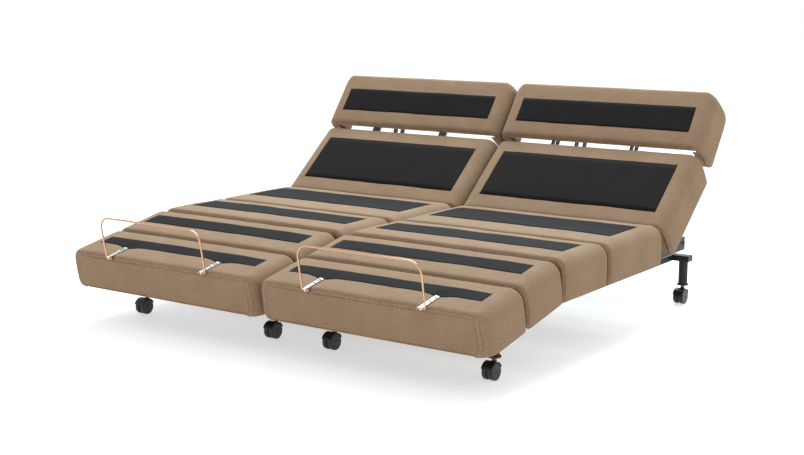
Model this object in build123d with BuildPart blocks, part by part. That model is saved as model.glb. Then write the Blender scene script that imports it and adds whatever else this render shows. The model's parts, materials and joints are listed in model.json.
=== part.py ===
"""Adjustable bed base: a split pair of motorised bases on casters, both raised.

Frame: millimetres, +X across the pair, +Y towards the head, +Z up, origin on the
floor under the middle of the whole pair.
"""

from build123d import *
import os
from math import cos, radians, sin, tan

os.makedirs("parts", exist_ok=True)

# Driving dimensions --------------------------------------------------------------
BASE_PITCH = 965.0  # middle of one base to the middle of the other
PANEL_WIDTH = 958.0
PANEL_DEPTH = 157.0  # top of the padding down to the hem of the side skirt
BACK_DEPTH = 165.0
PILLOW_DEPTH = 172.0
BOARD_DEPTH = 42.0  # padding and deck board together
SKIRT = 26.0  # padded side skirt
END_OPENING = 860.0  # the panels' inner ends are open this wide under the board
TOP_ROUND = 46.0
HEM_ROUND = 12.0
END_ROUND = 11.0
DECK_TOP = 390.0
DATUM_Y = -19.6  # moves the finished pair so that the origin is in its middle

SEAT_FOOT = -62.0  # foot end of the fixed seat panel
SEAT_LENGTH = 445.0
THIGH_LENGTH = 326.0
THIGH_GAP = 20.0
CALF_LENGTH = 239.0
LEG_GAP = 14.0  # between the calf and foot panels
KNEE_GAP = 33.0
FOOT_LENGTH = 246.0
BACK_LENGTH = 415.0
PILLOW_LENGTH = 275.0

BACK_ANGLE = 39.0  # raised positions that the model stands in
PILLOW_ANGLE = 53.5
LEG_ANGLE = 11.0

BACK_CORNER = (395.0, 380.0)  # y, z of the back panel's lower top edge
PILLOW_CORNER = (713.0, 664.0)

BACK_HINGE = (418.0, 360.0)
THIGH_HINGE = (-72.0, 365.0)
KNEE_HINGE = (-410.0, 230.0)
PILLOW_HINGE_BACK = 66.5  # pillow hinge, back from the back panel's upper edge
PILLOW_HINGE_DEPTH = 54.0

FRONT_BEAM_Y = -647.0
REAR_BEAM_Y = 780.0
BEAM_LOW = 179.0
BEAM_HIGH = 203.0
BEAM_DEEP = 44.0
RAIL_X = 345.0  # lower side rails
DECK_RAIL_X = 405.0
FRONT_LEG_X = 342.0
REAR_LEG_X = 397.0

TUBE = 25.0
PIN_RADIUS = 5.0
RUNNING = 0.08  # radial clearance of a pin in its hole

WHEEL_RADIUS = 30.0
WHEEL_WIDTH = 17.0
WHEEL_TRAIL = 18.0
WEB = 8.0  # caster body between its two wheels

SIDES = {"left": -BASE_PITCH / 2, "right": BASE_PITCH / 2}


def tilted(centre, corner, angle):
    """Plane on a panel's top: X across, Y up the panel, Z out of the padding."""
    return Plane(
        origin=(centre, corner[0], corner[1]),
        x_dir=(1, 0, 0),
        z_dir=(0, -sin(radians(angle)), cos(radians(angle))),
    )


def side_plane(plane, x):
    """Plane for a side profile: X up the panel, Y out of the padding, at x across."""
    origin = plane.from_local_coords((x, 0, 0))
    return Plane(origin=origin, x_dir=plane.y_dir, z_dir=plane.x_dir)


def back_from(corner, angle, distance):
    """Point a distance down a panel's top line from its corner."""
    return (
        corner[0] - distance * cos(radians(angle)),
        corner[1] - distance * sin(radians(angle)),
    )


def local_point(corner, angle, point):
    """A side-view point in a panel's own (along, out) coordinates."""
    y = point[0] - corner[0]
    z = point[1] - corner[1]
    along = y * cos(radians(angle)) + z * sin(radians(angle))
    out = -y * sin(radians(angle)) + z * cos(radians(angle))
    return (along, out)


def block(x, y, z, mode=Mode.ADD):
    """A box between two x, two y and two z values of the working plane."""
    with Locations(((x[0] + x[1]) / 2, (y[0] + y[1]) / 2, (z[0] + z[1]) / 2)):
        Box(x[1] - x[0], y[1] - y[0], z[1] - z[0], mode=mode)


def plate(plane, x, thickness, points, radius, hole=None, slot=None, mode=Mode.ADD):
    """A flat plate in side view: rounded bars from point to point, with a hole."""
    with BuildSketch(side_plane(plane, x)) as outline:
        with BuildLine():
            Polyline(*points)
        trace(line_width=2 * radius)
        with Locations(points[0], points[-1]):
            Circle(radius)
        if hole:
            with Locations(hole[0]):
                Circle(hole[1], mode=Mode.SUBTRACT)
        if slot:
            with Locations(slot[0]):
                SlotCenterToCenter(slot[1], slot[2], rotation=slot[3], mode=Mode.SUBTRACT)
    extrude(outline.sketch, amount=thickness, mode=mode)


def cross_pin(plane, x, point, radius, mode=Mode.ADD):
    """A round pin across the bed between two x values."""
    with BuildSketch(side_plane(plane, x[0])) as outline:
        with Locations(point):
            Circle(radius)
    extrude(outline.sketch, amount=x[1] - x[0], mode=mode)


def save(part, name):
    shape = part.part.moved(Location((0, DATUM_Y, 0)))
    shape.label = name
    export_step(shape, "parts/" + name + ".step")


# Panel corners, from the fixed seat towards the foot -----------------------------
SEAT_CORNER = (SEAT_FOOT, DECK_TOP)
THIGH_CORNER = (SEAT_FOOT - THIGH_GAP - THIGH_LENGTH, DECK_TOP)
CALF_TOP = (
    THIGH_CORNER[0] - KNEE_GAP,
    DECK_TOP - (KNEE_GAP / 2) * tan(radians(LEG_ANGLE)),
)
CALF_CORNER = back_from(CALF_TOP, LEG_ANGLE, CALF_LENGTH)
FOOT_CORNER = back_from(CALF_CORNER, LEG_ANGLE, LEG_GAP + FOOT_LENGTH)
LEG_LENGTH = FOOT_LENGTH + LEG_GAP + CALF_LENGTH


# Upholstered panels --------------------------------------------------------------
def panel(plane, length, depth=PANEL_DEPTH, foot_open=True, head_open=True, pockets=()):
    """Padded board with a skirt: a shallow tray, open side down."""
    half = PANEL_WIDTH / 2
    with BuildPart(plane) as tray:
        block((-half, half), (0, length), (-depth, 0))
        along = tray.edges().filter_by(Axis(plane.origin, plane.y_dir))
        high = along.filter_by(lambda e: plane.to_local_coords(e.center()).Z > -1)
        low = along.filter_by(lambda e: plane.to_local_coords(e.center()).Z < -1)
        fillet(high, TOP_ROUND)
        fillet(low, HEM_ROUND)
        for end in (0, length):
            rim = tray.faces().filter_by(
                lambda f: abs(plane.to_local_coords(f.center()).Y - end) < 0.01
            )
            fillet(rim.edges(), END_ROUND)
        inner = half - SKIRT
        under = (-depth - 1, -BOARD_DEPTH)
        block((-inner, inner), (SKIRT, length - SKIRT), under, Mode.SUBTRACT)
        opening = (-END_OPENING / 2, END_OPENING / 2)
        if foot_open:
            block(opening, (-1, SKIRT + 1), under, Mode.SUBTRACT)
        if head_open:
            block(opening, (length - SKIRT - 1, length + 1), under, Mode.SUBTRACT)
        for x, y in pockets:
            block(x, y, (-BOARD_DEPTH - 1, -9), Mode.SUBTRACT)
    return tray


# Fixed frame ---------------------------------------------------------------------
SPACER_HIGH = 240.0
DECK_RAIL_HIGH = 290.0
SEAT_TUBE_LOW = 323.0
BOARD_UNDER = DECK_TOP - BOARD_DEPTH
FRONT_SPACER = (23.0, 53.0)
REAR_SPACER = (323.0, 353.0)
SEAT_TUBES = ((-37.0, -7.0), (328.0, 358.0))
DECK_RAIL = (-72.0, 738.0)
BOLT_Y = 729.0
BOLT_Z = 262.0
HINGE_X = 330.0  # inner face of the fixed hinge lugs
LUG = 8.0
HEAD_ACTUATOR_X = 70.0
LEG_ACTUATOR_X = -70.0
ACTUATOR_Z = 280.0
HEAD_MOUNT = FRONT_SPACER[1] - 15
LEG_MOUNT = REAR_SPACER[0] - 15


def fixed_frame(centre):
    """Welded steel frame that carries the seat and stands on the legs."""
    floor = Plane(origin=(centre, 0, 0))
    beam = BEAM_DEEP / 2
    with BuildPart(floor) as frame:
        block((-375, 375), (FRONT_BEAM_Y - beam, FRONT_BEAM_Y + beam), (BEAM_LOW, BEAM_HIGH))
        block((-428, 428), (REAR_BEAM_Y - beam, REAR_BEAM_Y + beam), (BEAM_LOW, BEAM_HIGH))
        for spacer in (FRONT_SPACER, REAR_SPACER):
            block((-DECK_RAIL_X, DECK_RAIL_X), spacer, (BEAM_HIGH, SPACER_HIGH))
        for tube in SEAT_TUBES:
            block((-420, 420), tube, (SEAT_TUBE_LOW, BOARD_UNDER))
        for x in (-RAIL_X, RAIL_X):
            block((x - 13, x + 13), (FRONT_BEAM_Y, REAR_BEAM_Y), (BEAM_LOW, BEAM_HIGH))
        for x in (-DECK_RAIL_X, DECK_RAIL_X):
            block((x - 13, x + 13), DECK_RAIL, (SPACER_HIGH - 4, DECK_RAIL_HIGH))
            for tube in SEAT_TUBES:
                block((x - 13, x + 13), tube, (DECK_RAIL_HIGH - 4, SEAT_TUBE_LOW + 4))
            cross_pin(floor, (x - 14, x + 14), (BOLT_Y, BOLT_Z), 5.05, Mode.SUBTRACT)
        for x in (-HINGE_X - LUG, HINGE_X):
            plate(floor, x, LUG, [(-24, 336), (-47, 345), THIGH_HINGE], 8.5)
            plate(floor, x, LUG, [(345, 336), (388, 340), BACK_HINGE], 10)
            for hinge in (THIGH_HINGE, BACK_HINGE):
                hole = (x - 1, x + LUG + 1)
                cross_pin(floor, hole, hinge, PIN_RADIUS + RUNNING, Mode.SUBTRACT)
        for x, mount in ((HEAD_ACTUATOR_X, HEAD_MOUNT), (LEG_ACTUATOR_X, LEG_MOUNT)):
            y = (mount - 15, mount + 15)
            block((x - 22, x + 22), y, (SPACER_HIGH - 3, SPACER_HIGH + 5))
            block((x - 22, x - 16), y, (SPACER_HIGH, ACTUATOR_Z + 14))
            block((x + 16, x + 22), y, (SPACER_HIGH, ACTUATOR_Z + 14))
    return frame


# Moving frames -------------------------------------------------------------------
RAILS = (-300.0, -100.0, 100.0, 300.0)
FRAME_HIGH = -BOARD_DEPTH
FRAME_LOW = -BOARD_DEPTH - TUBE
FRAME_MID = -BOARD_DEPTH - TUBE / 2
MOVING_LUG_X = HINGE_X + LUG + 1.0


def ladder(ends):
    """Four rails on cross tubes, screwed up under the deck board."""
    half = MOVING_LUG_X + 40
    for x in RAILS:
        block((x - 9, x + 9), (ends[0], ends[-1]), (FRAME_LOW, FRAME_HIGH))
    for y in ends:
        block((-half, half), (y - TUBE / 2, y + TUBE / 2), (FRAME_LOW, FRAME_HIGH))


def mirrored(sign, near, far):
    """A span of x values on one side of the middle."""
    return sorted((sign * near, sign * far))


def hinge_lugs(plane, start, pivot):
    """Lug plates outside the fixed lugs, with pins that run in the fixed holes."""
    for sign in (-1, 1):
        x = mirrored(sign, MOVING_LUG_X, MOVING_LUG_X + LUG)
        plate(plane, x[0], LUG, [start, pivot], 9)
        cross_pin(plane, mirrored(sign, HINGE_X - 3, MOVING_LUG_X + LUG), pivot, PIN_RADIUS)


def lever(plane, x, start, pivot, pin, slot_length):
    """Pair of slotted lever plates; the actuator's rod pin works in the slots."""
    along = pin[0] - pivot[0]
    out = pin[1] - pivot[1]
    turn = Vector(along, out).get_signed_angle(Vector(1, 0))
    reach = (along**2 + out**2) ** 0.5
    tip = (pin[0] + 16 * along / reach, pin[1] + 16 * out / reach)
    for face in (x - 22, x + 17):
        plate(plane, face, 5, [start, tip], 14, slot=(pin, slot_length, 15, turn))


def pillow_pivot():
    return (BACK_LENGTH - PILLOW_HINGE_BACK, -PILLOW_HINGE_DEPTH)


LUG_POCKETS = ((-366.0, -322.0), (322.0, 366.0))
PILLOW_ARMS = (-210.0, 165.0)
PILLOW_ACTUATOR_X = -105.0
HEAD_PIN = (427.6, ACTUATOR_Z)
LEG_PIN = (-45.2, ACTUATOR_Z)
PILLOW_PIN = (BACK_LENGTH - PILLOW_HINGE_BACK, -112.0)


def back_frame(plane):
    ends = (57.5, BACK_LENGTH - 90)
    pivot = local_point(BACK_CORNER, BACK_ANGLE, BACK_HINGE)
    pin = local_point(BACK_CORNER, BACK_ANGLE, HEAD_PIN)
    hinge = pillow_pivot()
    with BuildPart(plane) as frame:
        ladder(ends)
        hinge_lugs(plane, (52, FRAME_MID), pivot)
        lever(plane, HEAD_ACTUATOR_X, (60, -76), pivot, pin, 34)
        for x in PILLOW_ARMS:
            plate(plane, x - 6, 12, [(ends[1], FRAME_MID), hinge], 10)
            cross_pin(plane, (x - 7, x + 7), hinge, PIN_RADIUS + RUNNING, Mode.SUBTRACT)
        for x in (PILLOW_ACTUATOR_X - 22, PILLOW_ACTUATOR_X + 16):
            block((x, x + 6), (52, 82), (PILLOW_PIN[1] - 14, FRAME_LOW + 4))
    return frame


def pillow_frame(plane, corner):
    ends = (57.5, PILLOW_LENGTH - 60)
    hinge_world = side_point(BACK_CORNER, BACK_ANGLE, pillow_pivot())
    pin_world = side_point(BACK_CORNER, BACK_ANGLE, PILLOW_PIN)
    hinge = local_point(corner, PILLOW_ANGLE, hinge_world)
    pin = local_point(corner, PILLOW_ANGLE, pin_world)
    with BuildPart(plane) as frame:
        ladder(ends)
        for x in PILLOW_ARMS:
            for face in (x - 14, x + 8):
                plate(plane, face, 6, [(57.5, FRAME_MID), hinge], 11)
            cross_pin(plane, (x - 14, x + 14), hinge, PIN_RADIUS)
        lever(plane, PILLOW_ACTUATOR_X, (50, -76), hinge, pin, 26)
    return frame


def side_point(corner, angle, local):
    """Side-view point from a panel's own (along, out) coordinates."""
    return (
        corner[0] + local[0] * cos(radians(angle)) - local[1] * sin(radians(angle)),
        corner[1] + local[0] * sin(radians(angle)) + local[1] * cos(radians(angle)),
    )


def thigh_frame(plane):
    ends = (60.0, THIGH_LENGTH - 57.5)
    pivot = local_point(THIGH_CORNER, 0, THIGH_HINGE)
    knee = local_point(THIGH_CORNER, 0, KNEE_HINGE)
    pin = local_point(THIGH_CORNER, 0, LEG_PIN)
    with BuildPart(plane) as frame:
        ladder(ends)
        hinge_lugs(plane, (ends[1], FRAME_MID), pivot)
        for sign in (-1, 1):
            x = mirrored(sign, HINGE_X - 13, HINGE_X - 5)
            plate(plane, x[0], LUG, [(ends[0], FRAME_MID), knee], 12)
            reach = (x[0] - 1, x[1] + 1)
            cross_pin(plane, reach, knee, PIN_RADIUS + RUNNING, Mode.SUBTRACT)
        lever(plane, LEG_ACTUATOR_X, (ends[1] + 4, -76), pivot, pin, 18)
    return frame


def leg_cradle(plane):
    """Arms that hang on the knee pins with a cross tube; the leg frame lies on it."""
    knee = local_point(FOOT_CORNER, LEG_ANGLE, KNEE_HINGE)
    rest = (200.0, FRAME_LOW - 13.5)
    with BuildPart(plane) as cradle:
        for sign in (-1, 1):
            x = mirrored(sign, HINGE_X - 3, HINGE_X + 2)
            plate(plane, x[0], 5, [rest, knee], 12)
            cross_pin(plane, mirrored(sign, HINGE_X - 14, HINGE_X + 13), knee, PIN_RADIUS)
        block((-HINGE_X, HINGE_X), (rest[0] - 12, rest[0] + 12), (rest[1] - 12, rest[1] + 12))
    return cradle


def leg_frame(plane):
    ends = (60.0, 250.0, LEG_LENGTH - 60)
    knee = local_point(FOOT_CORNER, LEG_ANGLE, KNEE_HINGE)
    with BuildPart(plane) as frame:
        ladder(ends)
        for sign in (-1, 1):
            x = mirrored(sign, HINGE_X + 4, HINGE_X + 12)
            plate(plane, x[0], LUG, [(ends[2], FRAME_MID), knee], 12)
            reach = (x[0] - 1, x[1] + 1)
            cross_pin(plane, reach, knee, PIN_RADIUS + RUNNING, Mode.SUBTRACT)
    return frame


# Actuators -----------------------------------------------------------------------
ROD_RADIUS = 11.0
HEAD_MOUTH = 288.0  # where each rod leaves its outer tube
LEG_MOUTH = 83.0
PILLOW_MOUTH = 290.0
PILLOW_MOUNT = 67.0


def round_bar(plane, x, height, span, radius, mode=Mode.ADD):
    """A round bar along the bed between two y values of the working plane."""
    start = plane.from_local_coords((x, span[0], height))
    with BuildSketch(Plane(start, x_dir=plane.x_dir, z_dir=plane.y_dir)) as ring:
        Circle(radius)
    extrude(ring.sketch, amount=span[1] - span[0], mode=mode)


def actuator_body(plane, place, mount, mouth, motor_side):
    """Gear housing, motor and outer tube; the rod leaves at the mouth."""
    x, height = place
    way = 1 if mouth > mount else -1
    housing = mount + way * 75
    motor = mirrored(motor_side, 26, 92)
    with BuildPart(plane) as body:
        eye = (height - 12, height + 12)
        block((x - 15.5, x + 15.5), sorted((mount - way * 10, mount + way * 14)), eye)
        block((x - 12, x + 12), sorted((mount, mount + way * 40)), eye)
        gears = sorted((mount + way * 32, housing + way * 12))
        block((x - 30, x + 30), gears, (height - 27, height + 27))
        drive = sorted((mount + way * 34, housing + way * 8))
        block((x + motor[0], x + motor[1]), drive, (height - 24, height + 24))
        round_bar(plane, x, height, sorted((housing, mouth)), 18)
        bore = sorted((mouth - way * 110, mouth + way * 1))
        round_bar(plane, x, height, bore, ROD_RADIUS + RUNNING, Mode.SUBTRACT)
    return body


def actuator_rod(plane, place, inside, pin):
    """Chromed rod with a flattened eye and the cross pin of the lever slots."""
    x, height = place
    way = 1 if pin > inside else -1
    with BuildPart(plane) as rod:
        round_bar(plane, x, height, sorted((inside, pin - way * 6)), ROD_RADIUS)
        eye = sorted((pin - way * 22, pin + way * 9))
        block((x - 10, x + 10), eye, (height - 9, height + 9))
        cross_pin(plane, (x - 27, x + 27), (pin, height), 4.0)
    return rod


# Mattress retainer ---------------------------------------------------------------
RETAINER_X = 250.0
RETAINER_HIGH = 164.0
RETAINER_CORNER = 48.0
WIRE = 3.75
EAR_Y = -6.5
EAR_Z = -5.0


def retainer_brackets(plane):
    """Two stamped zinc strips over the end edge, each with an ear and two screws."""
    with BuildPart(plane) as brackets:
        for sign in (-1, 1):
            middle = sign * (RETAINER_X - 9)
            block((middle - 8, middle + 8), (-13, 88), (0.3, 2.8))
            ear = mirrored(sign, RETAINER_X - 12, RETAINER_X - 9)
            block(ear, (-13, -0.6), (-10, 2.8))
            reach = (ear[0] - 1, ear[1] + 1)
            cross_pin(plane, reach, (EAR_Y, EAR_Z), WIRE + RUNNING, Mode.SUBTRACT)
            with Locations((middle, 44, 4), (middle, 76, 4)):
                Cylinder(5, 3)
    return brackets


def retainer_bar(plane):
    """Bent wire hoop; its ends turn inwards through the ears and are headed."""
    with BuildPart(plane) as bar:
        upright = Plane(
            origin=plane.from_local_coords((0, EAR_Y, EAR_Z)),
            x_dir=plane.x_dir,
            z_dir=-plane.y_dir,
        )
        inward = RETAINER_X - 22
        with BuildLine(upright) as path:
            FilletPolyline(
                (-inward, 0),
                (-RETAINER_X - 6, 0),
                (-RETAINER_X - 6, RETAINER_HIGH),
                (RETAINER_X + 6, RETAINER_HIGH),
                (RETAINER_X + 6, 0),
                (inward, 0),
                radius=[7, RETAINER_CORNER, RETAINER_CORNER, 7],
            )
        with BuildSketch(Plane(path.line @ 0, z_dir=path.line % 0)):
            Circle(WIRE)
        sweep()
        for sign in (-1, 1):
            tip = sorted((sign * (inward - 3), sign * (inward + 1)))
            cross_pin(plane, tip, (EAR_Y, EAR_Z), 5.5)
    return bar


# Legs and casters ----------------------------------------------------------------
CAP_LOW = 76.0
CAP_HIGH = 81.0
STEM_RADIUS = 5.5


def corners(centre):
    """The four leg places of one base: name, x, y."""
    return [
        ("foot_outer", centre + (FRONT_LEG_X if centre > 0 else -FRONT_LEG_X), FRONT_BEAM_Y),
        ("foot_inner", centre - (FRONT_LEG_X if centre > 0 else -FRONT_LEG_X), FRONT_BEAM_Y),
        ("head_outer", centre + (REAR_LEG_X if centre > 0 else -REAR_LEG_X), REAR_BEAM_Y),
        ("head_inner", centre - (REAR_LEG_X if centre > 0 else -REAR_LEG_X), REAR_BEAM_Y),
    ]


def every_corner():
    return [place for centre in SIDES.values() for place in corners(centre)]


def caster_body(x, y):
    """Stem, hub and hood of a twin-wheel caster, with its axle."""
    axle_y = y - WHEEL_TRAIL
    side = Plane(origin=(x, axle_y, WHEEL_RADIUS), x_dir=(0, 1, 0), z_dir=(1, 0, 0))
    wide = WEB / 2 + 1 + WHEEL_WIDTH
    with BuildPart() as body:
        with BuildSketch(side.offset(-WEB / 2)):
            Circle(WHEEL_RADIUS - 5)
            with Locations((WHEEL_TRAIL - 4, 16)):
                Rectangle(16, 26)
        extrude(amount=WEB)
        with BuildSketch(side.offset(-wide)):
            Circle(WHEEL_RADIUS + 5)
            Circle(WHEEL_RADIUS + 1.5, mode=Mode.SUBTRACT)
            with Locations((0, -WHEEL_RADIUS)):
                Rectangle(90, 84, align=(Align.CENTER, Align.CENTER), mode=Mode.SUBTRACT)
        extrude(amount=2 * wide)
        with BuildSketch(side.offset(-WEB / 2)):
            with Locations((0, WHEEL_RADIUS - 1)):
                Rectangle(20, 10)
        extrude(amount=WEB)
        with BuildSketch(side.offset(-wide)):
            Circle(4)
        extrude(amount=2 * wide)
        with BuildSketch(Plane(origin=(x, y, 60.5))):
            Circle(9)
        extrude(amount=5.5)
        with BuildSketch(Plane(origin=(x, y, 60))):
            Circle(STEM_RADIUS)
        extrude(amount=40)
    return body


def caster_wheels(x, y):
    """Two moulded wheels that turn together on the axle."""
    axle_y = y - WHEEL_TRAIL
    side = Plane(origin=(x, axle_y, WHEEL_RADIUS), x_dir=(0, 1, 0), z_dir=(1, 0, 0))
    with BuildPart() as wheels:
        for start in (WEB / 2 + 1, -WEB / 2 - 1 - WHEEL_WIDTH):
            with BuildSketch(side.offset(start)):
                Circle(WHEEL_RADIUS)
                Circle(4 + RUNNING, mode=Mode.SUBTRACT)
            extrude(amount=WHEEL_WIDTH)
        rims = wheels.edges().filter_by(GeomType.CIRCLE).filter_by(lambda e: e.radius > 20)
        fillet(rims, 3)
    return wheels


def leg_tubes():
    with BuildPart() as tubes:
        for _, x, y in every_corner():
            with BuildSketch(Plane(origin=(x, y, CAP_HIGH))):
                Circle(19)
                Circle(17, mode=Mode.SUBTRACT)
            extrude(amount=BEAM_LOW - CAP_HIGH)
    return tubes


def leg_end_caps():
    """Flanged plastic sockets in the leg tubes; the caster stems turn in them."""
    with BuildPart() as caps:
        for _, x, y in every_corner():
            with BuildSketch(Plane(origin=(x, y, CAP_LOW))):
                Circle(24.5)
            extrude(amount=CAP_HIGH - CAP_LOW)
            with BuildSketch(Plane(origin=(x, y, CAP_HIGH))):
                Circle(16.95)
            extrude(amount=24)
            with BuildSketch(Plane(origin=(x, y, CAP_LOW - 1))):
                Circle(STEM_RADIUS + RUNNING)
            extrude(amount=40, mode=Mode.SUBTRACT)
    return caps


def deck_bolts():
    """Zinc bolts through the head ends of the deck rails."""
    with BuildPart() as bolts:
        for centre in SIDES.values():
            for sign in (-1, 1):
                face = centre + sign * (DECK_RAIL_X + 13)
                out = Plane(origin=(face, BOLT_Y, BOLT_Z), x_dir=(0, 1, 0), z_dir=(sign, 0, 0))
                with BuildSketch(out):
                    RegularPolygon(9.5, 6)
                extrude(amount=7)
                with BuildSketch(out):
                    Circle(5)
                extrude(amount=-30)
    return bolts


def control_boxes():
    """Moulded control box with the mains inlet, one under each seat."""
    with BuildPart() as boxes:
        for centre in SIDES.values():
            x = (centre + 190, centre + 320)
            y = (FRONT_SPACER[1], FRONT_SPACER[1] + 110)
            block(x, y, (212, 257))
            block((x[0] + 20, x[0] + 50), (y[1] - 12, y[1] + 1), (223, 245), Mode.SUBTRACT)
    return boxes


# Assembly ------------------------------------------------------------------------
for side, centre in SIDES.items():
    seat_plane = tilted(centre, SEAT_CORNER, 0)
    thigh_plane = tilted(centre, THIGH_CORNER, 0)
    calf_plane = tilted(centre, CALF_CORNER, LEG_ANGLE)
    foot_plane = tilted(centre, FOOT_CORNER, LEG_ANGLE)
    back_plane = tilted(centre, BACK_CORNER, BACK_ANGLE)
    pillow_plane = tilted(centre, PILLOW_CORNER, PILLOW_ANGLE)
    lug_pockets = [(x, (-1, 62)) for x in LUG_POCKETS]
    seat_pockets = [(x, (SEAT_LENGTH - 62, SEAT_LENGTH + 1)) for x in LUG_POCKETS]
    thigh_pockets = [(x, (THIGH_LENGTH - 62, THIGH_LENGTH + 1)) for x in LUG_POCKETS]
    arm_pockets = [((x - 22, x + 22), (BACK_LENGTH - 92, BACK_LENGTH + 1)) for x in PILLOW_ARMS]

    save(fixed_frame(centre), side + "_frame")
    save(panel(seat_plane, SEAT_LENGTH, pockets=lug_pockets + seat_pockets), side + "_seat_panel")
    back = panel(back_plane, BACK_LENGTH, BACK_DEPTH, pockets=lug_pockets + arm_pockets)
    save(back, side + "_back_panel")
    save(back_frame(back_plane), side + "_back_frame")
    save(panel(pillow_plane, PILLOW_LENGTH, PILLOW_DEPTH, head_open=False), side + "_pillow_panel")
    save(pillow_frame(pillow_plane, PILLOW_CORNER), side + "_pillow_frame")
    save(panel(thigh_plane, THIGH_LENGTH, pockets=thigh_pockets), side + "_thigh_panel")
    save(thigh_frame(thigh_plane), side + "_thigh_frame")
    save(panel(calf_plane, CALF_LENGTH), side + "_calf_panel")
    save(panel(foot_plane, FOOT_LENGTH, foot_open=False), side + "_foot_panel")
    save(leg_frame(foot_plane), side + "_leg_frame")
    save(leg_cradle(foot_plane), side + "_leg_cradle")
    save(retainer_brackets(foot_plane), side + "_retainer_brackets")
    save(retainer_bar(foot_plane), side + "_retainer_bar")

    floor = Plane(origin=(centre, 0, 0))
    head = (HEAD_ACTUATOR_X, ACTUATOR_Z)
    leg = (LEG_ACTUATOR_X, ACTUATOR_Z)
    pillow = (PILLOW_ACTUATOR_X, PILLOW_PIN[1])
    save(actuator_body(floor, head, HEAD_MOUNT, HEAD_MOUTH, 1), side + "_head_actuator")
    save(actuator_rod(floor, head, HEAD_MOUTH - 35, HEAD_PIN[0]), side + "_head_rod")
    save(actuator_body(floor, leg, LEG_MOUNT, LEG_MOUTH, -1), side + "_leg_actuator")
    save(actuator_rod(floor, leg, LEG_MOUTH + 30, LEG_PIN[0]), side + "_leg_rod")
    save(actuator_body(back_plane, pillow, PILLOW_MOUNT, PILLOW_MOUTH, -1), side + "_pillow_actuator")
    save(actuator_rod(back_plane, pillow, PILLOW_MOUTH - 45, PILLOW_PIN[0]), side + "_pillow_rod")
    for corner, x, y in corners(centre):
        save(caster_body(x, y), side + "_caster_" + corner)
        save(caster_wheels(x, y), side + "_wheels_" + corner)

save(leg_tubes(), "leg_tubes")
save(leg_end_caps(), "leg_end_caps")
save(deck_bolts(), "deck_bolts")
save(control_boxes(), "control_boxes")
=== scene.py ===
"""Adjustable bed base, a split pair: the covers, grip patches, metal and plastic finishes."""

import json
from math import cos, exp, pi, radians, sin

import bpy
from mathutils import Matrix, Vector, noise


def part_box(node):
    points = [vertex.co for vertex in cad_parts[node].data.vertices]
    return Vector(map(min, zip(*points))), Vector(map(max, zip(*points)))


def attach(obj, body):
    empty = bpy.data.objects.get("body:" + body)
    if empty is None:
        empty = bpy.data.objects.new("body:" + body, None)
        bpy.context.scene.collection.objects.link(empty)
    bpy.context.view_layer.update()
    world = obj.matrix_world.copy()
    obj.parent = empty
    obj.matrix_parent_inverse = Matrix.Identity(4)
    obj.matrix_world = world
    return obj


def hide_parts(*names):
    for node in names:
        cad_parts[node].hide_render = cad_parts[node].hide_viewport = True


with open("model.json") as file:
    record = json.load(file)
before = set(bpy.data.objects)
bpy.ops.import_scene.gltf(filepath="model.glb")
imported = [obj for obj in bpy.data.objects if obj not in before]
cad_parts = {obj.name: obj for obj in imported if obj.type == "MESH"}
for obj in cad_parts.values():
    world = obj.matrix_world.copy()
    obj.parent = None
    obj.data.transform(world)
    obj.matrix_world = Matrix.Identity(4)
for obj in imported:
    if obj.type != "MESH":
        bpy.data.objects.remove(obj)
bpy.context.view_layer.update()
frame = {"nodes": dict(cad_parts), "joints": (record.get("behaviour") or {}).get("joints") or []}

MM = 0.001
SIDES = ("left", "right")


# ------------------------------------------------------------------ upholstery cloth
# The covers are a taupe polyester basket weave with a slightly hairy, dry surface.
# Two yarn shades twisted together give the flecked colour; the weave gives a fine
# grain, in relief and as painted shade in its hollows, and the fibres a soft sheen at
# grazing angles. A darker line along the seams is painted shade.

def hex_colour(code):
    """sRGB hex to the linear colour that a socket takes."""
    channels = [int(code[i : i + 2], 16) / 255 for i in (0, 2, 4)]
    linear = [c / 12.92 if c <= 0.04045 else ((c + 0.055) / 1.055) ** 2.4 for c in channels]
    return (*linear, 1.0)


def add_node(tree, kind, links=None, **settings):
    """Adds a node, sets its properties and sockets by name, and links its inputs."""
    node = tree.nodes.new(kind)
    for key, value in settings.items():
        socket = key.replace("_", " ")
        if hasattr(node, key):
            setattr(node, key, value)
        elif socket in node.inputs:
            node.inputs[socket].default_value = value
        else:
            node.inputs[socket.title()].default_value = value
    for socket, source in (links or {}).items():
        tree.links.new(source, node.inputs[socket])
    return node


def new_material(name, colour, roughness, metallic=0.0):
    """A material with its shader: returns the material, its tree and the shader."""
    material = bpy.data.materials.new(name)
    material.use_nodes = True
    tree = material.node_tree
    shader = tree.nodes["Principled BSDF"]
    shader.inputs["Base Color"].default_value = hex_colour(colour)
    shader.inputs["Roughness"].default_value = roughness
    shader.inputs["Metallic"].default_value = metallic
    return material, tree, shader


def ramp(tree, source, stops):
    """Colour ramp over a grey source; stops are (place, hex) pairs."""
    node = add_node(tree, "ShaderNodeValToRGB", {"Fac": source})
    band = node.color_ramp
    while len(band.elements) < len(stops):
        band.elements.new(0.5)
    for element, (place, code) in zip(band.elements, stops):
        element.position = place
        element.color = hex_colour(code)
    return node.outputs["Color"]


def mixed(tree, kind, amount, first, second):
    """Mixes two colours; amount is a number or a grey socket."""
    node = tree.nodes.new("ShaderNodeMix")
    node.data_type = "RGBA"
    node.blend_type = kind
    if isinstance(amount, float):
        node.inputs["Factor"].default_value = amount
    else:
        tree.links.new(amount, node.inputs["Factor"])
    for socket, value in (("A", first), ("B", second)):
        place = [s for s in node.inputs if s.name == socket and s.type == "RGBA"][0]
        if isinstance(value, tuple):
            place.default_value = value
        else:
            tree.links.new(value, place)
    return [s for s in node.outputs if s.type == "RGBA"][0]


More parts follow.
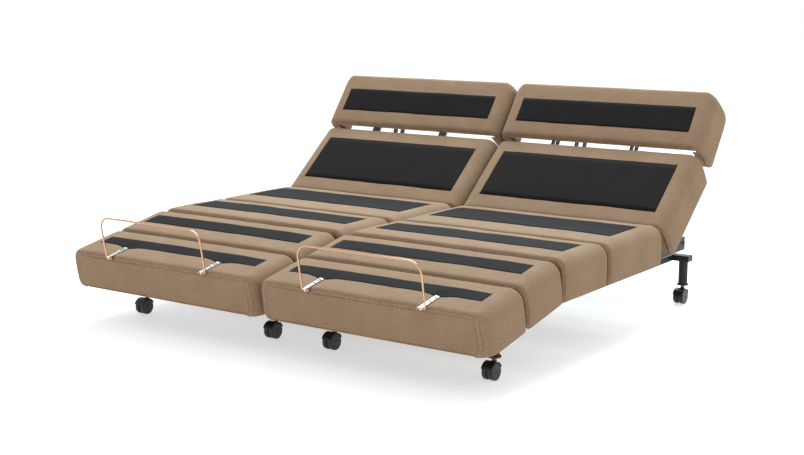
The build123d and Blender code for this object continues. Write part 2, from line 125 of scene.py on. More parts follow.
def woven_cloth(name, light, dark, thread, fleck, bump, sheen):
    """Basket weave: warp and weft ribs crossing with painted shade in their hollows, flecked
    yarn, fibre sheen, painted shade along the seams.
    """
    material, tree, shader = new_material(name, light, 0.92)
    place = add_node(tree, "ShaderNodeAttribute", attribute_name="cloth").outputs["Vector"]
    ribs = []
    for direction in ("X", "Y"):
        rib = add_node(
            tree, "ShaderNodeTexWave", {"Vector": place},
            bands_direction=direction, Scale=1 / (thread * 6.283), Distortion=1.5, Detail=1.0,
        )
        rib.inputs["Detail Scale"].default_value = 3.0
        ribs.append(rib.outputs["Fac"])
    weave = add_node(tree, "ShaderNodeMath", operation="MULTIPLY")
    tree.links.new(ribs[0], weave.inputs[0])
    tree.links.new(ribs[1], weave.inputs[1])
    flecks = add_node(tree, "ShaderNodeTexNoise", {"Vector": place}, Scale=1 / fleck, Detail=3.0)
    flecks.inputs["Roughness"].default_value = 0.65
    clouds = add_node(tree, "ShaderNodeTexNoise", {"Vector": place}, Scale=9.0, Detail=4.0)
    yarn = ramp(tree, flecks.outputs["Fac"], [(0.32, dark), (0.68, light)])
    shade = ramp(tree, clouds.outputs["Fac"], [(0.3, "e4e0dc"), (0.7, "ffffff")])
    colour = mixed(tree, "MULTIPLY", 0.55, yarn, shade)
    # Painted shade: the weave's hollows are darkened, following the height that the bump uses.
    weave_hollow_shade = ramp(tree, weave.outputs["Value"], [(0.0, "b9b2aa"), (0.5, "ffffff")])
    colour = mixed(tree, "MULTIPLY", 0.5, colour, weave_hollow_shade)
    # Painted shade: a dark line along the seam groove, wherever the seam attribute is set.
    seam_shade = add_node(tree, "ShaderNodeAttribute", attribute_name="seam_shade").outputs["Fac"]
    colour = mixed(tree, "MIX", seam_shade, colour, hex_colour("5e4c3e"))
    tree.links.new(colour, shader.inputs["Base Color"])
    grain = add_node(tree, "ShaderNodeBump", {"Height": weave.outputs["Value"]}, Strength=bump)
    grain.inputs["Distance"].default_value = thread * 0.4
    lumps = add_node(
        tree, "ShaderNodeBump",
        {"Height": clouds.outputs["Fac"], "Normal": grain.outputs["Normal"]}, Strength=0.25,
    )
    lumps.inputs["Distance"].default_value = 0.003
    tree.links.new(lumps.outputs["Normal"], shader.inputs["Normal"])
    shader.inputs["Sheen Weight"].default_value = sheen
    shader.inputs["Sheen Roughness"].default_value = 0.5
    shader.inputs["Sheen Tint"].default_value = hex_colour(light)
    shader.inputs["Specular IOR Level"].default_value = 0.2
    return material


# The yarn is 0.6 mm; it is drawn at 2 mm, and its flecks at 5 mm, so that they show from
# across a room.
taupe_weave = woven_cloth(
    "taupe polyester basket weave", "a1886f", "806852", 2.0 * MM, 5 * MM, 0.35, 0.2
)


# ------------------------------------------------------------------ upholstered covers
# Each panel is a deck board with 25 mm foam, boxed in a sewn cover. One strip of cloth
# runs over the top and down both sides and tucks under the hem; the two ends are
# separate pieces, sewn on with a plain seam along the rounded edge.
HALF = 479 * MM
BOARD = 42 * MM
TOP_ROUND = 50 * MM
HEM_ROUND = 12 * MM
END_ROUND = 18 * MM
CORNER_ROUND = 46 * MM
CURL_ROUND = 32 * MM
CURL_REACH = 90 * MM
# Room under the back panel's upper end for the arms that carry the pillow.
POCKET = 96 * MM
POCKET_REACH = 260 * MM
POCKET_TOP = -10 * MM
CROWN = 4 * MM
BELLY = 2.2 * MM
RING_STEP = 11 * MM
# The seams are a shallow groove; the dark line along them is painted shade.
SEAM_DEEP = 0.7 * MM
DEPTH = {"back": 165 * MM, "pillow": 172 * MM}
PANEL_DEPTH = 157 * MM
TILT = {"seat": 0.0, "thigh": 0.0, "calf": 11.0, "foot": 11.0, "back": 39.0, "pillow": 53.5}
TOP_CELLS = 84
RETAINER_X = 241 * MM


def panel_space(side, name):
    """The panel's own space: across, up the panel, out of the padding; and its length."""
    tilt = radians(TILT[name])
    low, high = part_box(side + "_" + name + "_panel")
    across = (low[0] + high[0]) / 2
    turn = Matrix.Rotation(tilt, 4, "X")
    mesh = frame["nodes"][side + "_" + name + "_panel"].data
    local = [turn.inverted() @ v.co for v in mesh.vertices]
    start = min(v.y for v in local)
    length = max(v.y for v in local) - start
    top = max(v.z for v in local)
    corner = turn @ Vector((0, start, top))
    space = Matrix.Translation((across, corner.y, corner.z)) @ turn
    return space, length


def bump_curve(value, centre, width):
    """A smooth hump, 1 at its centre."""
    return exp(-(((value - centre) / width) ** 2))


def pad_height(name, x, s, length):
    """How far the padding's top stands above the flat: crown, softness and dents."""
    edge_x = 1 - (abs(x) / HALF) ** 6
    edge_s = 1 - abs(2 * s / length - 1) ** 6
    height = CROWN * edge_x * edge_s
    height += 1.6 * MM * noise.noise(Vector((x * 7, s * 9, len(name) * 3.7)))
    height += 0.7 * MM * noise.noise(Vector((x * 24, s * 30, len(name) * 1.3)))
    if name == "foot":
        for sign in (-1, 1):
            bracket = sign * RETAINER_X
            pressed = bump_curve(x, bracket, 26 * MM) * bump_curve(s, 44 * MM, 50 * MM)
            pulled = bump_curve(x, bracket, 60 * MM) * bump_curve(s, 100 * MM, 30 * MM)
            crease = sin((x - bracket) * 150) * bump_curve(s, 110 * MM, 30 * MM)
            height -= 6.2 * MM * pressed + 3 * MM * pulled
            height += 0.7 * MM * crease * bump_curve(x, bracket, 50 * MM)
    return height


def section_loops(depth):
    """Outer and inner outlines of a panel across the bed, matched point for point."""
    outer, inner = [], []
    hem = (-HALF + HEM_ROUND, -depth + HEM_ROUND)
    for i in range(6):
        turn = pi / 2 * i / 5
        outer.append((hem[0] - HEM_ROUND * sin(turn), hem[1] - HEM_ROUND * cos(turn)))
        inner.append((hem[0] + HEM_ROUND * sin(turn), hem[1] - HEM_ROUND * cos(turn)))
    low, high = -depth + HEM_ROUND, -TOP_ROUND
    for i in range(1, 13):
        rise = i / 12
        belly = BELLY * sin(pi * rise)
        outer.append((-HALF - belly, low + (high - low) * rise))
        inner.append((-HALF + 2 * HEM_ROUND, low + (-BOARD - low) * rise))
    for i in range(1, 13):
        turn = pi / 2 * i / 12
        outer.append((-HALF + TOP_ROUND * (1 - cos(turn)), -TOP_ROUND * (1 - sin(turn))))
        reach = (2 * HEM_ROUND) + (TOP_ROUND - 2 * HEM_ROUND) * i / 12
        inner.append((-HALF + reach, -BOARD))
    side_points = len(outer)
    width = 2 * (HALF - TOP_ROUND)
    for i in range(1, TOP_CELLS):
        x = -HALF + TOP_ROUND + width * i / TOP_CELLS
        outer.append((x, 0.0))
        inner.append((x, -BOARD))
    for k in range(side_points - 1, -1, -1):
        outer.append((-outer[k][0], outer[k][1]))
        inner.append((-inner[k][0], inner[k][1]))
    return outer, inner, side_points


def outline_normals(points):
    """Outward direction at each point of an outline."""
    normals = []
    for k, _ in enumerate(points):
        a = points[max(k - 1, 0)]
        b = points[min(k + 1, len(points) - 1)]
        step = Vector((b[0] - a[0], b[1] - a[1])).normalized()
        normals.append((-step.y, step.x))
    return normals


def end_rings(length):
    """(place along, inset, strength of the painted seam shade) of the rings from one end to the
    other.
    """
    turns = [90, 80, 70, 61, 56, 52, 48, 44, 40, 35, 24, 12]
    # Seam strength sets the groove's depth and, at 0.3 of it, the painted shade along the seam.
    seam_depth_and_shade = {56: 0.15, 52: 0.6, 48: 1.0, 44: 0.6, 40: 0.15}
    near = []
    for turn in turns:
        a = radians(turn)
        groove_and_seam_shade = SEAM_DEEP * seam_depth_and_shade.get(turn, 0)
        place = END_ROUND * (1 - sin(a)) + groove_and_seam_shade * sin(a)
        near.append((place, END_ROUND * (1 - cos(a)) + groove_and_seam_shade * cos(a), seam_depth_and_shade.get(turn, 0) * 0.3))
    count = max(int((length - 2 * END_ROUND) / RING_STEP), 6)
    step = (length - 2 * END_ROUND) / count
    middle = [(END_ROUND + step * i, 0.0, 0.0) for i in range(count + 1)]
    far = [(length - s, inset, seam_shade) for s, inset, seam_shade in reversed(near)]
    return near + middle + far


def end_face(verts, faces, rows, s, way, depth):
    """Fills a closed end between the left and right edges."""
    columns = TOP_CELLS
    previous = None
    for left, right in rows:
        line = []
        for i in range(columns + 1):
            if i == 0:
                line.append(left)
            elif i == columns:
                line.append(right)
            else:
                a, b = verts[left], verts[right]
                f = i / columns
                x = a[0] + (b[0] - a[0]) * f
                h = a[2] + (b[2] - a[2]) * f
                soft = 0.002 * sin(pi * f) ** 0.5 * sin(pi * min(1, (h + depth) / depth))
                verts.append((x, s + way * -soft, h))
                line.append(len(verts) - 1)
        if previous:
            for i in range(columns):
                quad = (previous[i], previous[i + 1], line[i + 1], line[i])
                faces.append(quad if way > 0 else tuple(reversed(quad)))
        previous = line


def make_piece(name, verts, faces, space, material, body, attributes=None):
    """A smooth-shaded mesh, placed from its own space and riding on a body."""
    mesh = bpy.data.meshes.new(name)
    mesh.from_pydata([space @ Vector(v) for v in verts], [], faces)
    mesh.update()
    for key, (kind, values) in (attributes or {}).items():
        layer = mesh.attributes.new(key, kind, "POINT")
        field = "vector" if kind == "FLOAT_VECTOR" else "value"
        flat = [c for v in values for c in v] if kind == "FLOAT_VECTOR" else values
        layer.data.foreach_set(field, flat)
    mesh.polygons.foreach_set("use_smooth", [True] * len(mesh.polygons))
    mesh.materials.append(material)
    piece = bpy.data.objects.new(name, mesh)
    bpy.context.scene.collection.objects.link(piece)
    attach(piece, body)
    return piece


def quarter(distance, radius):
    """How far a quarter round of this radius falls back, this distance from its end."""
    short = max(0.0, 1 - distance / radius)
    return radius * (1 - (1 - short * short) ** 0.5)


def draw_in(above_hem, from_end):
    """How far a side draws in: round upright corners, and a curl at their hem."""
    curl = max(0.0, 1 - from_end / CURL_REACH) ** 2 * quarter(above_hem, CURL_ROUND)
    return quarter(from_end, CORNER_ROUND) + curl


def cover(side, name, body, full_near=False, full_far=False):
    """The sewn cover: outer cloth, its inner face, and either end closed or turned in."""
    space, length = panel_space(side, name)
    depth = DEPTH.get(name, PANEL_DEPTH)
    outer, inner, side_points = section_loops(depth)
    normals = outline_normals(outer)
    rings = end_rings(length)
    count = len(outer)
    verts, seam_shade, cloth = [], [], []
    run = [0.0]
    for k in range(1, count):
        step = Vector(outer[k]) - Vector(outer[k - 1])
        run.append(run[-1] + step.length)
    phase = 2.3 if side == "left" else 7.9
    for s, inset, groove_and_seam_shade in rings:
        from_end = min(s if full_near else length, length - s if full_far else length)
        for k, (x, h) in enumerate(outer):
            nx, nh = normals[k]
            corner = draw_in(h + depth, from_end)
            flank = abs(nx) if h > -TOP_ROUND else 1.0
            px, ph = x - nx * inset, h - nh * inset
            if corner > inset * abs(nx):
                px = x - (corner * flank if x > 0 else -corner * flank)
            if nh > 0.5:
                ph += pad_height(name, x, s, length) * nh
            wave = noise.noise(Vector((run[k] * 9, s * 9 + phase, TILT[name])))
            small = noise.noise(Vector((run[k] * 26, s * 22, phase)))
            swell = (0.0013 * wave + 0.0005 * small) * (1 - abs(nh))
            verts.append((px + nx * swell, s, ph))
            # Painted seam shade for the cloth's colour, on the outer cloth only.
            seam_shade.append(groove_and_seam_shade if k > 4 else 0.0)
            cloth.append((run[k], s, 0.0))
    faces = []
    for r in range(len(rings) - 1):
        for k in range(count - 1):
            a = r * count + k
            faces.append((a, a + 1, a + count + 1, a + count))
    base = len(verts)
    turn_in = [9 * MM, 20 * MM, 36 * MM, 62 * MM]
    stations = turn_in + [length * 0.5] + [length - s for s in reversed(turn_in)]
    for s in stations:
        from_end = min(s if full_near else length, length - s if full_far else length)
        for x, h in inner:
            flank = min(1.0, max(0.0, (abs(x) - HALF + TOP_ROUND) / (20 * MM) + 1))
            corner = draw_in(h + depth, from_end) * flank
            x -= corner if x > 0 else -corner
            hollow = name == "back" and length - s < POCKET and abs(x) < POCKET_REACH
            verts.append((x, s, POCKET_TOP if hollow and h > -BOARD - MM else h))
            seam_shade.append(0.0)
            cloth.append((x, s, 0.0))
    for r in range(len(stations) - 1):
        for k in range(count - 1):
            a = base + r * count + k
            faces.append((a + count, a + count + 1, a + 1, a))
    for ring, station, way, full in (
        (0, 0, 1, full_near), (len(rings) - 1, len(stations) - 1, -1, full_far),
    ):
        first = ring * count
        inside = base + station * count
        rows = [(first + k, first + count - 1 - k) for k in range(side_points)]
        if full:
            end_face(verts, faces, rows, verts[first][1], way, depth)
        else:
            for k in range(count - 1):
                quad = (first + k, inside + k, inside + k + 1, first + k + 1)
                faces.append(quad if way > 0 else tuple(reversed(quad)))
    while len(seam_shade) < len(verts):
        x, s, h = verts[len(seam_shade)]
        seam_shade.append(0.0)
        cloth.append((x, h, 0.0))
    attributes = {"seam_shade": ("FLOAT", seam_shade), "cloth": ("FLOAT_VECTOR", cloth)}
    label = side + "_" + name + "_cover"
    piece = make_piece(label, verts, faces, space, taupe_weave, body, attributes)
    weld = piece.modifiers.new("join sewn edges", "WELD")
    weld.merge_threshold = 0.05 * MM
    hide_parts(side + "_" + name + "_panel")
    return space, length


def end_wall(side, name, body, space, s, reach, label):
    """Cloth folded round an end of the skirt; reach is its span across the bed."""
    low, high = -DEPTH.get(name, PANEL_DEPTH) + 3 * MM, -BOARD
    profile = []
    for i in range(9):
        turn = pi * i / 8
        profile.append((-cos(turn) * 10 * MM, low + 10 * MM - sin(turn) * 10 * MM))
    profile = [(-10 * MM, high)] + profile + [(10 * MM, high)]
    verts, faces = [], []
    for part in range(5):
        x = reach[0] + (reach[1] - reach[0]) * part / 4
        for ds, h in profile:
            verts.append((x, s + ds, h))
    size = len(profile)
    for r in range(4):
        for k in range(size - 1):
            a = r * size + k
            faces.append((a, a + 1, a + size + 1, a + size))
    cloth = [(v[0], v[2], 0.0) for v in verts]
    attributes = {"seam_shade": ("FLOAT", [0.0] * len(verts)), "cloth": ("FLOAT_VECTOR", cloth)}
    label = side + "_" + name + label
    piece = make_piece(label, verts, faces, space, taupe_weave, body, attributes)


# The closed ends are the outer edges of the bed; the others open on their neighbours,
# with the skirt returned a hand's breadth round each corner.
CLOSED = {("foot", "near"), ("pillow", "far")}
WALL_IN = 14 * MM
WALL_REACH = HALF - 2 * HEM_ROUND + 2 * MM
RETURN_FROM = 431 * MM
LINING_REACH = 405 * MM


# ------------------------------------------------------------------ grip patches
# A black ribbed non-slip textile, glued and stitched flat on each panel so that the
# mattress does not creep. Its rubber-dotted face is dull and nearly black.
grip_textile = woven_cloth(
    "black non-slip ribbed textile", "1a1515", "110d0d", 3.0 * MM, 3 * MM, 0.5, 0.08
)
PATCH_STAND = 1.1 * MM
PATCHES = {
    "pillow": (70, 190, 410), "back": (77.5, 340.5, 410), "seat": (126, 364, 410),
    "thigh": (104, 252, 408), "calf": (90, 176, 408), "foot": (100, 168, 405),
}


def patch_edges(name, x, near, far, phase):
    """The cut edges: a little uneven, and drawn towards the retainer brackets."""
    lift = 1.6 * MM * noise.noise(Vector((x * 6, phase, 1.7)))
    lift += 0.7 * MM * noise.noise(Vector((x * 19, phase, 4.1)))
    drop = 1.6 * MM * noise.noise(Vector((x * 5, phase, 9.2)))
    if name == "foot":
        for sign in (-1, 1):
            lift -= 13 * MM * bump_curve(x, sign * RETAINER_X, 45 * MM)
    return near + lift, far + drop


def patch(side, name, body, space, length):
    """The patch follows the padding under it and stands a millimetre proud."""
    near, far, half = (value * MM for value in PATCHES[name])
    columns, rows = 96, 10
    phase = (3.1 if side == "left" else 8.3) + len(name)
    verts, cloth, faces = [], [], []
    for stand in (PATCH_STAND, -2 * MM):
        for i in range(columns + 1):
            x = -half + 2 * half * i / columns
            low, high = patch_edges(name, x, near, far, phase)
            for j in range(rows + 1):
                s = low + (high - low) * j / rows
                inwards = min(min(j, rows - j) / rows, min(i, columns - i) / columns)
                rim = min(1.0, 6 * inwards + 0.35) if stand > 0 else 1.0
                verts.append((x, s, pad_height(name, x, s, length) + stand * rim))
                cloth.append((x, s, 0.0))
    size = rows + 1
    layer = (columns + 1) * size
    for i in range(columns):
        for j in range(rows):
            a = i * size + j
            faces.append((a, a + size, a + size + 1, a + 1))
            faces.append((layer + a, layer + a + 1, layer + a + size + 1, layer + a + size))
    rim = [i * size for i in range(columns + 1)] + [columns * size + j for j in range(1, size)]
    rim += [i * size + rows for i in range(columns - 1, -1, -1)]
    rim += list(range(rows - 1, 0, -1))
    for a, b in zip(rim, rim[1:] + rim[:1]):
        faces.append((a, layer + a, layer + b, b))
    attributes = {"seam_shade": ("FLOAT", [0.0] * len(verts)), "cloth": ("FLOAT_VECTOR", cloth)}
    label = side + "_" + name + "_grip_patch"
    piece = make_piece(label, verts, faces, space, grip_textile, body, attributes)


# ------------------------------------------------------------------ deck boards
# 12 mm plywood under the foam, stained dark; it shows only from beneath, between the
# frame tubes, with the cover's edge stapled along it.
board_wood, wood_tree, wood_shader = new_material("dark stained plywood", "5a4636", 0.6)
wood_place = add_node(wood_tree, "ShaderNodeTexCoord").outputs["Object"]
grain_map = add_node(wood_tree, "ShaderNodeMapping", {"Vector": wood_place})
grain_map.inputs["Scale"].default_value = (3.0, 60.0, 60.0)
wood_grain = add_node(
    wood_tree, "ShaderNodeTexNoise", {"Vector": grain_map.outputs["Vector"]},
    Scale=4.0, Detail=6.0,
)
wood_tree.links.new(
    ramp(wood_tree, wood_grain.outputs["Fac"], [(0.3, "3d2e23"), (0.7, "6d5643")]),
    wood_shader.inputs["Base Color"],
)
wood_bump = add_node(
    wood_tree, "ShaderNodeBump", {"Height": wood_grain.outputs["Fac"]}, Strength=0.3
)
wood_bump.inputs["Distance"].default_value = 0.5 * MM
wood_tree.links.new(wood_bump.outputs["Normal"], wood_shader.inputs["Normal"])


def deck_board(side, name, body, space, length):
    """A plain bevelled board, short of the cover's ends."""
    half_x, low, high = HALF - 2 * HEM_ROUND - 1 * MM, -BOARD - 0.4 * MM, -BOARD + 11 * MM
    edge = 26 * MM
    far_edge = length - (POCKET if name == "back" else edge)
    verts = []
    for h in (low, high):
        for x in (-half_x, half_x):
            for s in (edge, far_edge):
                verts.append((x, s, h))
    faces = [(0, 1, 3, 2), (4, 6, 7, 5), (0, 4, 5, 1), (2, 3, 7, 6), (0, 2, 6, 4), (1, 5, 7, 3)]
    piece = make_piece(side + "_" + name + "_deck_board", verts, faces, space, board_wood, body)
    piece.data.polygons.foreach_set("use_smooth", [False] * 6)
    bevel = piece.modifiers.new("eased edges", "BEVEL")
    bevel.width = 1 * MM
    bevel.segments = 2


PANEL_BODY = {
    "seat": "base", "back": "back", "pillow": "pillow",
    "thigh": "thigh", "calf": "lower_leg", "foot": "lower_leg",
}
for side in SIDES:
    for name, body in PANEL_BODY.items():
        body = body if body == "base" else side + "_" + body
        space, length = cover(side, name, body, (name, "near") in CLOSED, (name, "far") in CLOSED)
        for end, s in (("near", WALL_IN), ("far", length - WALL_IN)):
            if (name, end) in CLOSED:
                end_wall(side, name, body, space, s, (-LINING_REACH, LINING_REACH), "_end_lining")
                continue
            for sign in (-1, 1):
                reach = sorted((sign * RETURN_FROM, sign * WALL_REACH))
                label = "_" + end + ("_return_l" if sign < 0 else "_return_r")
                end_wall(side, name, body, space, s, reach, label)
        patch(side, name, body, space, length)
        deck_board(side, name, body, space, length)


# ------------------------------------------------------------------ painted steel
# Square tube frames, brackets and leg tubes, welded and powder coated in a dark
# brown-black satin. The coat has a fine orange peel and catches light on its edges.
frame_coat, coat_tree, coat_shader = new_material("dark brown powder coated steel", "18120e", 0.5)
coat_place = add_node(coat_tree, "ShaderNodeTexCoord").outputs["Object"]
peel = add_node(coat_tree, "ShaderNodeTexNoise", {"Vector": coat_place}, Scale=420.0, Detail=2.0)
dust = add_node(coat_tree, "ShaderNodeTexNoise", {"Vector": coat_place}, Scale=14.0, Detail=5.0)
coat_tree.links.new(
    ramp(coat_tree, dust.outputs["Fac"], [(0.3, "120d0a"), (0.72, "1f1712")]),
    coat_shader.inputs["Base Color"],
)
rough = add_node(coat_tree, "ShaderNodeMapRange", {"Value": dust.outputs["Fac"]})
rough.inputs["To Min"].default_value = 0.42
rough.inputs["To Max"].default_value = 0.6
coat_tree.links.new(rough.outputs["Result"], coat_shader.inputs["Roughness"])
peel_bump = add_node(coat_tree, "ShaderNodeBump", {"Height": peel.outputs["Fac"]}, Strength=0.2)
peel_bump.inputs["Distance"].default_value = 0.2 * MM
coat_tree.links.new(peel_bump.outputs["Normal"], coat_shader.inputs["Normal"])
coat_shader.inputs["Specular IOR Level"].default_value = 0.3
coat_shader.inputs["Coat Weight"].default_value = 0.08
coat_shader.inputs["Coat Roughness"].default_value = 0.3


def finish_node(name, material, edge=0.0):
    """Gives a CAD node its finish, with eased edges where the real part has them."""
    node = frame["nodes"][name]
    node.data.materials.clear()
    node.data.materials.append(material)
    if edge:
        bevel = node.modifiers.new("eased edges", "BEVEL")
        bevel.width = edge
        bevel.segments = 2
        bevel.limit_method = "ANGLE"
        bevel.angle_limit = radians(40)


for side in SIDES:
    for name in ("frame", "back_frame", "pillow_frame", "thigh_frame", "leg_cradle", "leg_frame"):
        finish_node(side + "_" + name, frame_coat, 0.8 * MM)
finish_node("leg_tubes", frame_coat)


# ------------------------------------------------------------------ zinc plated steel
# Stamped retainer brackets, bolts and screws: bright zinc plate with a
# faint bluish spangle and fine rolling lines.
zinc, zinc_tree, zinc_shader = new_material("bright zinc plated steel", "cfd3d6", 0.28, 1.0)
zinc_place = add_node(zinc_tree, "ShaderNodeTexCoord").outputs["Object"]
spangle = add_node(zinc_tree, "ShaderNodeTexVoronoi", {"Vector": zinc_place}, Scale=260.0)
zinc_tree.links.new(
    ramp(zinc_tree, spangle.outputs["Distance"], [(0.0, "b9c0c6"), (0.8, "e6e7e6")]),
    zinc_shader.inputs["Base Color"],
)
zinc_wear = add_node(
    zinc_tree, "ShaderNodeTexNoise", {"Vector": zinc_place}, Scale=90.0, Detail=4.0
)
zinc_rough = add_node(zinc_tree, "ShaderNodeMapRange", {"Value": zinc_wear.outputs["Fac"]})
zinc_rough.inputs["To Min"].default_value = 0.18
zinc_rough.inputs["To Max"].default_value = 0.42
zinc_tree.links.new(zinc_rough.outputs["Result"], zinc_shader.inputs["Roughness"])
for side in SIDES:
    finish_node(side + "_retainer_brackets", zinc, 0.4 * MM)
finish_node("deck_bolts", zinc, 0.5 * MM)


# ------------------------------------------------------------------ chromed steel
# Retainer hoops in 7.5 mm chromed wire and the ground, chromed actuator rods: mirror
# bright, with faint draw marks. Their warm copper tone is a painted reflection of the
# room, set in the base colour all over.
# Painted reflection: the warm base colour stands for the room reflected in the chrome.
chrome, chrome_tree, chrome_shader = new_material("chromed steel wire", "c69c80", 0.1, 1.0)
chrome_place = add_node(chrome_tree, "ShaderNodeTexCoord").outputs["Object"]
draw_marks = add_node(
    chrome_tree, "ShaderNodeTexNoise", {"Vector": chrome_place}, Scale=120.0, Detail=3.0
)
chrome_rough = add_node(chrome_tree, "ShaderNodeMapRange", {"Value": draw_marks.outputs["Fac"]})
chrome_rough.inputs["To Min"].default_value = 0.06
chrome_rough.inputs["To Max"].default_value = 0.2
chrome_tree.links.new(chrome_rough.outputs["Result"], chrome_shader.inputs["Roughness"])
for side in SIDES:
    finish_node(side + "_retainer_bar", chrome)
    for rod in ("head_rod", "leg_rod", "pillow_rod"):
        finish_node(side + "_" + rod, chrome, 0.5 * MM)


# ------------------------------------------------------------------ moulded plastics
# Actuator housings and control boxes are black ABS with a fine spark-eroded grain;
# caster hoods, wheels and leg sockets are smoother black-brown nylon.

def moulded(name, colour, light, roughness, grain, depth):
    """Moulded plastic: fine spark grain in relief, with scuffs in colour and gloss."""
    material, tree, shader = new_material(name, colour, roughness)
    place = add_node(tree, "ShaderNodeTexCoord").outputs["Object"]
    spark = add_node(tree, "ShaderNodeTexNoise", {"Vector": place}, Scale=1 / grain, Detail=2.0)
    scuffs = add_node(tree, "ShaderNodeTexNoise", {"Vector": place}, Scale=35.0, Detail=5.0)
    tree.links.new(
        ramp(tree, scuffs.outputs["Fac"], [(0.35, colour), (0.75, light)]),
        shader.inputs["Base Color"],
    )
    level = add_node(tree, "ShaderNodeMapRange", {"Value": scuffs.outputs["Fac"]})
    level.inputs["To Min"].default_value = roughness - 0.08
    level.inputs["To Max"].default_value = roughness + 0.12
    tree.links.new(level.outputs["Result"], shader.inputs["Roughness"])
    relief = add_node(tree, "ShaderNodeBump", {"Height": spark.outputs["Fac"]}, Strength=0.3)
    relief.inputs["Distance"].default_value = depth
    tree.links.new(relief.outputs["Normal"], shader.inputs["Normal"])
    return material


housing_abs = moulded("black grained ABS", "1b1b1c", "262627", 0.55, 1.2 * MM, 0.15 * MM)
socket_nylon = moulded("black nylon leg socket", "1a1613", "28221d", 0.45, 0.8 * MM, 0.05 * MM)
hood_nylon = moulded("black nylon caster hood", "171410", "231f1a", 0.38, 0.8 * MM, 0.05 * MM)
wheel_nylon = moulded("black nylon caster wheel", "15120f", "221d18", 0.42, 0.8 * MM, 0.05 * MM)
CORNERS = ("foot_outer", "foot_inner", "head_outer", "head_inner")
for side in SIDES:
    for drive in ("head_actuator", "leg_actuator", "pillow_actuator"):
        finish_node(side + "_" + drive, housing_abs, 2.0 * MM)
    for corner in CORNERS:
        finish_node(side + "_caster_" + corner, hood_nylon, 0.6 * MM)
        finish_node(side + "_wheels_" + corner, wheel_nylon)
finish_node("control_boxes", housing_abs, 2.5 * MM)
finish_node("leg_end_caps", socket_nylon, 0.5 * MM)


# ------------------------------------------------------------------ caster trim
# Each stem carries a turned brass collar between the hood and the leg socket, and a
# domed cap is pressed on each end of the axle.
brass, brass_tree, brass_shader = new_material("turned brass", "c98f3c", 0.3, 1.0)
brass_place = add_node(brass_tree, "ShaderNodeTexCoord").outputs["Object"]
tarnish = add_node(
    brass_tree, "ShaderNodeTexNoise", {"Vector": brass_place}, Scale=300.0, Detail=3.0
)
brass_tree.links.new(
    ramp(brass_tree, tarnish.outputs["Fac"], [(0.3, "a86f28"), (0.7, "dba24c")]),
    brass_shader.inputs["Base Color"],
)


def turned(name, profile, origin, axis, material, body, steps=28):
    """A lathe-turned piece: (radius, along) points spun about an axis."""
    turn = Vector((0, 0, 1)).rotation_difference(Vector(axis)).to_matrix().to_4x4()
    space = Matrix.Translation(origin) @ turn
    verts, faces = [], []
    for radius, along in profile:
        for i in range(steps):
            a = 2 * pi * i / steps
            verts.append((radius * cos(a), radius * sin(a), along))
    for r in range(len(profile) - 1):
        for i in range(steps):
            j = (i + 1) % steps
            faces.append((r * steps + i, r * steps + j, (r + 1) * steps + j, (r + 1) * steps + i))
    piece = make_piece(name, verts, faces, space, material, body)
    return piece


COLLAR = [
    (5.6, 0), (8.6, 0), (9.0, 0.5), (9.0, 3.2), (7.6, 4.0), (7.6, 6.6), (8.4, 7.2), (8.4, 8.8),
    (5.6, 9.2),
]
COLLAR_LOW = 66.2 * MM
HUB = [(0.01, 2.2), (3.2, 2.0), (6.0, 1.2), (7.6, 0), (8.0, -0.6)]
for side in SIDES:
    for corner in CORNERS:
        low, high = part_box(side + "_caster_" + corner)
        wheel_low, wheel_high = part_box(side + "_wheels_" + corner)
        joint = [j for j in frame["joints"] if j["name"] == side + "_swivel_turn_" + corner][0]
        swivel = side + "_swivel_" + corner
        origin = Vector((joint["pos_m"][0], joint["pos_m"][1], COLLAR_LOW))
        profile = [(r * MM, z * MM) for r, z in COLLAR]
        turned(swivel + "_collar", profile, origin, (0, 0, 1), brass, swivel)
        middle = (wheel_low + wheel_high) / 2
        for sign, end in ((-1, wheel_low), (1, wheel_high)):
            spot = Vector((end[0], middle[1], middle[2]))
            profile = [(r * MM, z * MM) for r, z in HUB]
            name = swivel + ("_axle_cap_a" if sign < 0 else "_axle_cap_b")
            turned(name, profile, spot, (sign, 0, 0), hood_nylon, swivel)


# ------------------------------------------------------------------ bracket screws
# Two pan-head wood screws hold each retainer bracket; the pressed slot between them
# holds a near-black sheet, painted shade for its inside. The bar ends are headed over
# behind the ears.
SCREW_SEAT = 5.6 * MM
SCREW = [(0.01, 2.3), (2.2, 2.2), (3.9, 1.5), (4.6, 0.3), (4.7, -1.0)]
# Painted shade: a near-black sheet set in the slot, where there is only shade.
slot_shade = moulded("pressed slot painted shade", "0c0b0b", "161413", 0.6, 0.8 * MM, 0.02 * MM)
for side in SIDES:
    space, length = panel_space(side, "foot")
    out = (space.to_3x3() @ Vector((0, 0, 1))).normalized()
    for sign in (-1, 1):
        for label, s in (("a", 44 * MM), ("b", 76 * MM)):
            spot = space @ Vector((sign * RETAINER_X, s, SCREW_SEAT))
            name = side + "_bracket_screw_" + label + ("_l" if sign < 0 else "_r")
            profile = [(r * MM, z * MM) for r, z in SCREW]
            turned(name, profile, spot, out, zinc, side + "_lower_leg")
        x = sign * RETAINER_X
        verts = [(x + dx * MM, ds * MM, 3.0 * MM) for ds, dx in
                 [(53, -2.5), (67, -2.5), (69, 0), (67, 2.5), (53, 2.5), (51, 0)]]
        name = side + "_bracket_slot" + ("_l" if sign < 0 else "_r")
        face = tuple(range(5, -1, -1))
        hole = make_piece(name, verts, [face], space, slot_shade, side + "_lower_leg")
        thick = hole.modifiers.new("depth", "SOLIDIFY")
        thick.thickness = 0.4 * MM


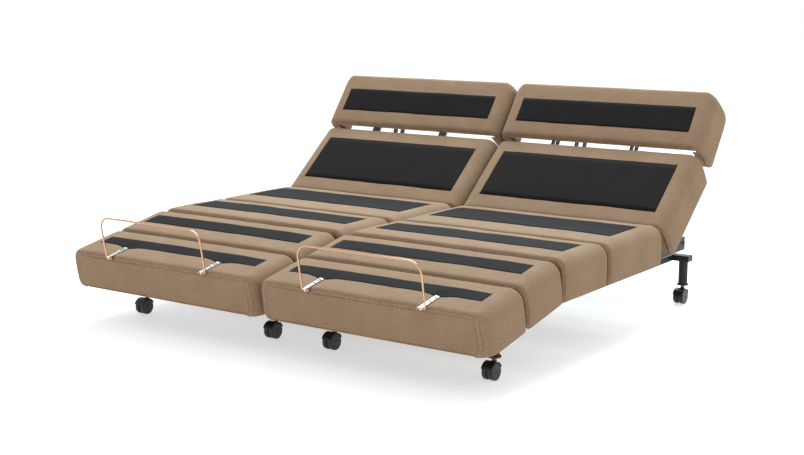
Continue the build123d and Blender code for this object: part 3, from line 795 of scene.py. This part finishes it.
# ------------------------------------------------------------------ studio
# A white floor lit from below as well, so that shadows stay faint, a cool softbox
# overhead, a weak warm one in front and a bright even surround.
floor_paint, _, floor_shader = new_material("white lit studio floor", "c8c8c8", 0.8)
floor_shader.inputs["Emission Color"].default_value = hex_colour("ffffff")
floor_shader.inputs["Emission Strength"].default_value = 0.55
floor_mesh = bpy.data.meshes.new("studio_floor")
FLOOR = 30.0
floor_corners = [(x * FLOOR, y * FLOOR, 0) for x, y in ((-1, -1), (1, -1), (1, 1), (-1, 1))]
floor_mesh.from_pydata(floor_corners, [], [(0, 1, 2, 3)])
floor_mesh.materials.append(floor_paint)
studio_floor = bpy.data.objects.new("studio_floor", floor_mesh)
bpy.context.scene.collection.objects.link(studio_floor)
studio_floor.location.z = -0.0005

world = bpy.data.worlds.new("studio")
bpy.context.scene.world = world
world.use_nodes = True
world.node_tree.nodes["Background"].inputs["Color"].default_value = hex_colour("ffffff")
world.node_tree.nodes["Background"].inputs["Strength"].default_value = 1.0


def soft_light(name, place, aim, size, power, colour):
    """A softbox: a rectangular lamp that faces its aim; size in metres, power in watts."""
    lamp = bpy.data.lights.new(name, "AREA")
    lamp.shape = "RECTANGLE"
    lamp.size, lamp.size_y = size
    lamp.energy = power
    lamp.color = hex_colour(colour)[:3]
    item = bpy.data.objects.new(name, lamp)
    bpy.context.scene.collection.objects.link(item)
    item.location = place
    item.rotation_euler = (Vector(aim) - Vector(place)).to_track_quat("-Z", "Y").to_euler()


soft_light("overhead_softbox", (-0.6, 2.5, 3.9), (0, 0.2, 0.3), (4.0, 4.0), 430, "e2f5ff")
soft_light("front_softbox", (-1.5, -5.0, 2.2), (0, 0, 0.3), (3.0, 2.0), 12, "ffe2c8")
soft_light("side_softbox", (5.0, -1.0, 1.8), (0, 0, 0.4), (2.5, 2.5), 10, "ffe2c8")

camera = bpy.data.objects.new("camera", bpy.data.cameras.new("camera"))
bpy.context.scene.collection.objects.link(camera)
bpy.context.scene.camera = camera
AZIMUTH, ELEVATION = radians(35.27), radians(10.08)
camera.location = (3.1685, -4.5447, 1.3247)
aim = Vector((-sin(AZIMUTH) * cos(ELEVATION), cos(AZIMUTH) * cos(ELEVATION), -sin(ELEVATION)))
camera.rotation_euler = aim.to_track_quat("-Z", "Y").to_euler()
camera.data.sensor_width = 36.0
camera.data.lens = 61.68
camera.data.shift_x = 0.0048
camera.data.clip_end = 100.0
bpy.context.scene.view_settings.view_transform = "Standard"
